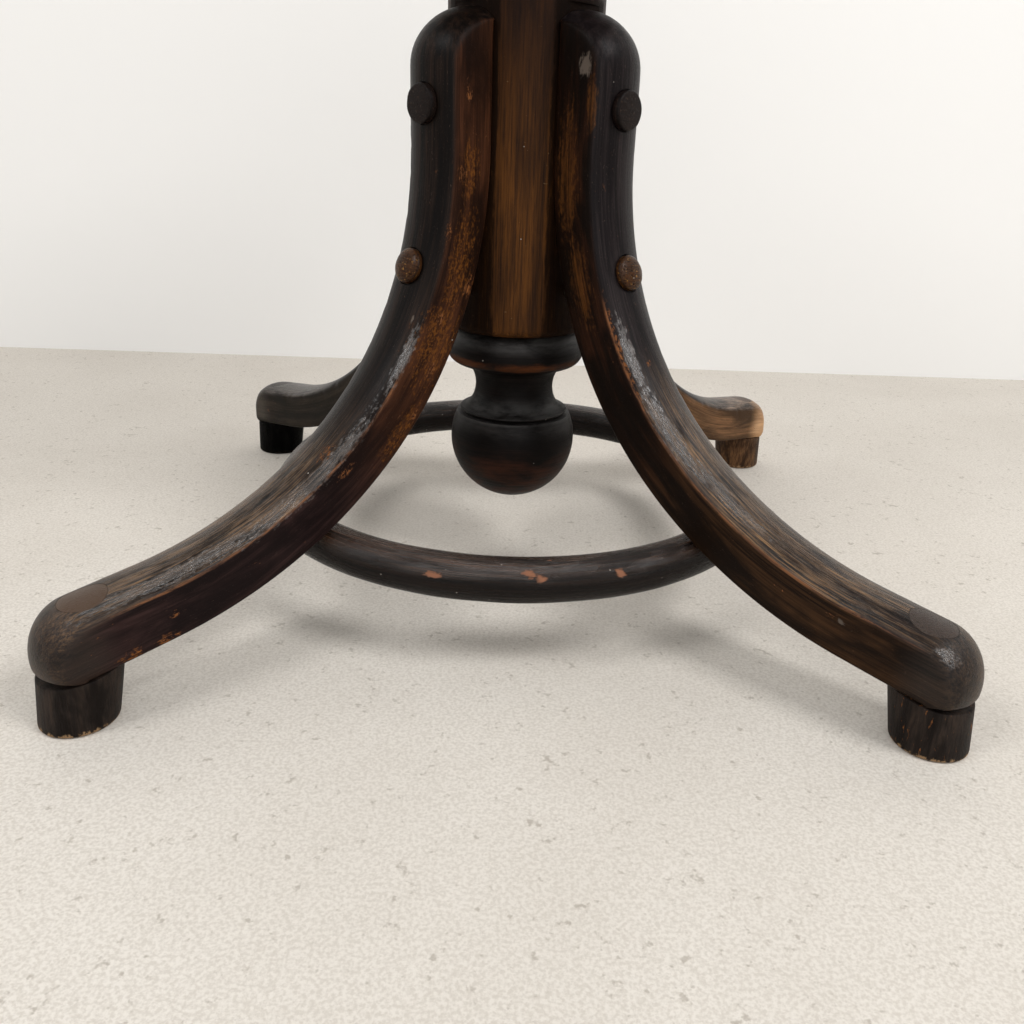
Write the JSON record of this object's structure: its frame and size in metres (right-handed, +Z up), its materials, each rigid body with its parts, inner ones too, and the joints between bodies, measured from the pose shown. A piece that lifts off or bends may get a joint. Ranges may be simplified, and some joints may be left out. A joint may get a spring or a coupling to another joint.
{
  "type": "revolving piano stool",
  "caption": "Bentwood piano stool with a turned post, crowned legs, ring stretcher and pendant finial, and a round seat that rises as it is turned on its screw.",
  "frame": {"origin": "on the floor under the middle of the post", "axes": "+Z up the post, -Y to the front, the side that the picture was taken from"},
  "size_m": [0.3988, 0.3988, 0.4544],
  "materials": {
    "post_wood": "worn dark walnut stain with the grain showing",
    "finial_wood": "near-black stain, satin, rubbed brown on the collar",
    "ring_wood": "near-black stain, satin, small chips",
    "leg_wood": "dark stain, satin, weathered on the crown and rubbed brown at the arrises",
    "foot_wood": "worn dark stain, scuffed pale at the sole",
    "button_wood": "dark stain rubbed brown",
    "rim_wood": "dark walnut stain, polished by use",
    "panel_wood": "dark walnut stain, worn in the middle",
    "batten_wood": "bare sawn beech, dusty",
    "nut_iron": "dark, lightly rusted",
    "plate_iron": "dark, lightly rusted",
    "spindle_steel": "bright where the nut rubs, oiled",
    "screw_steel": "dull steel"
  },
  "bodies": {
    "base": {"post": "post_wood", "pendant_finial": "finial_wood", "ring_stretcher": "ring_wood", "leg_front_left": "leg_wood", "leg_front_right": "leg_wood", "leg_back_right": "leg_wood", "leg_back_left": "leg_wood", "foot_front_left": "foot_wood", "foot_front_right": "foot_wood", "foot_back_right": "foot_wood", "foot_back_left": "foot_wood", "ring_screw_front_left": "screw_steel", "ring_screw_front_right": "screw_steel", "ring_screw_back_right": "screw_steel", "ring_screw_back_left": "screw_steel", "leg_screw_upper_front_left": "screw_steel", "leg_screw_upper_front_right": "screw_steel", "leg_screw_upper_back_right": "screw_steel", "leg_screw_upper_back_left": "screw_steel", "leg_screw_lower_front_left": "screw_steel", "leg_screw_lower_front_right": "screw_steel", "leg_screw_lower_back_right": "screw_steel", "leg_screw_lower_back_left": "screw_steel", "leg_button_upper_front_left": "button_wood", "leg_button_upper_front_right": "button_wood", "leg_button_upper_back_right": "button_wood", "leg_button_upper_back_left": "button_wood", "leg_button_lower_front_left": "button_wood", "leg_button_lower_front_right": "button_wood", "leg_button_lower_back_right": "button_wood", "leg_button_lower_back_left": "button_wood", "spindle_nut": "nut_iron", "nut_screw_right": "screw_steel", "nut_screw_back": "screw_steel", "nut_screw_left": "screw_steel", "nut_screw_front": "screw_steel"},
    "lift": {"stop_washer": "spindle_steel"},
    "seat": {"spindle": "spindle_steel", "stop_pin": "spindle_steel", "seat_plate": "plate_iron", "plate_screw_right": "screw_steel", "plate_screw_back": "screw_steel", "plate_screw_left": "screw_steel", "plate_screw_front": "screw_steel", "seat_batten_lower": "batten_wood", "seat_batten_upper": "batten_wood", "seat_rim": "rim_wood", "seat_panel": "panel_wood", "rim_screw_right": "screw_steel", "rim_screw_back": "screw_steel", "rim_screw_left": "screw_steel", "rim_screw_front": "screw_steel"}
  },
  "joints": [
    {"name": "seat_rise", "type": "slide", "parent": "base", "child": "lift", "axis": [0, 0, 1], "range_m": [0, 0.112]},
    {"name": "seat_spin", "type": "hinge", "parent": "lift", "child": "seat", "pos_m": [0, 0, 0.4], "axis": [0, 0, 1], "range_deg": [0, 5040]}
  ],
  "couplings": [
    {"joint": "seat_rise", "follows": "seat_spin", "m_per_rad": 0.0012732}
  ]
}
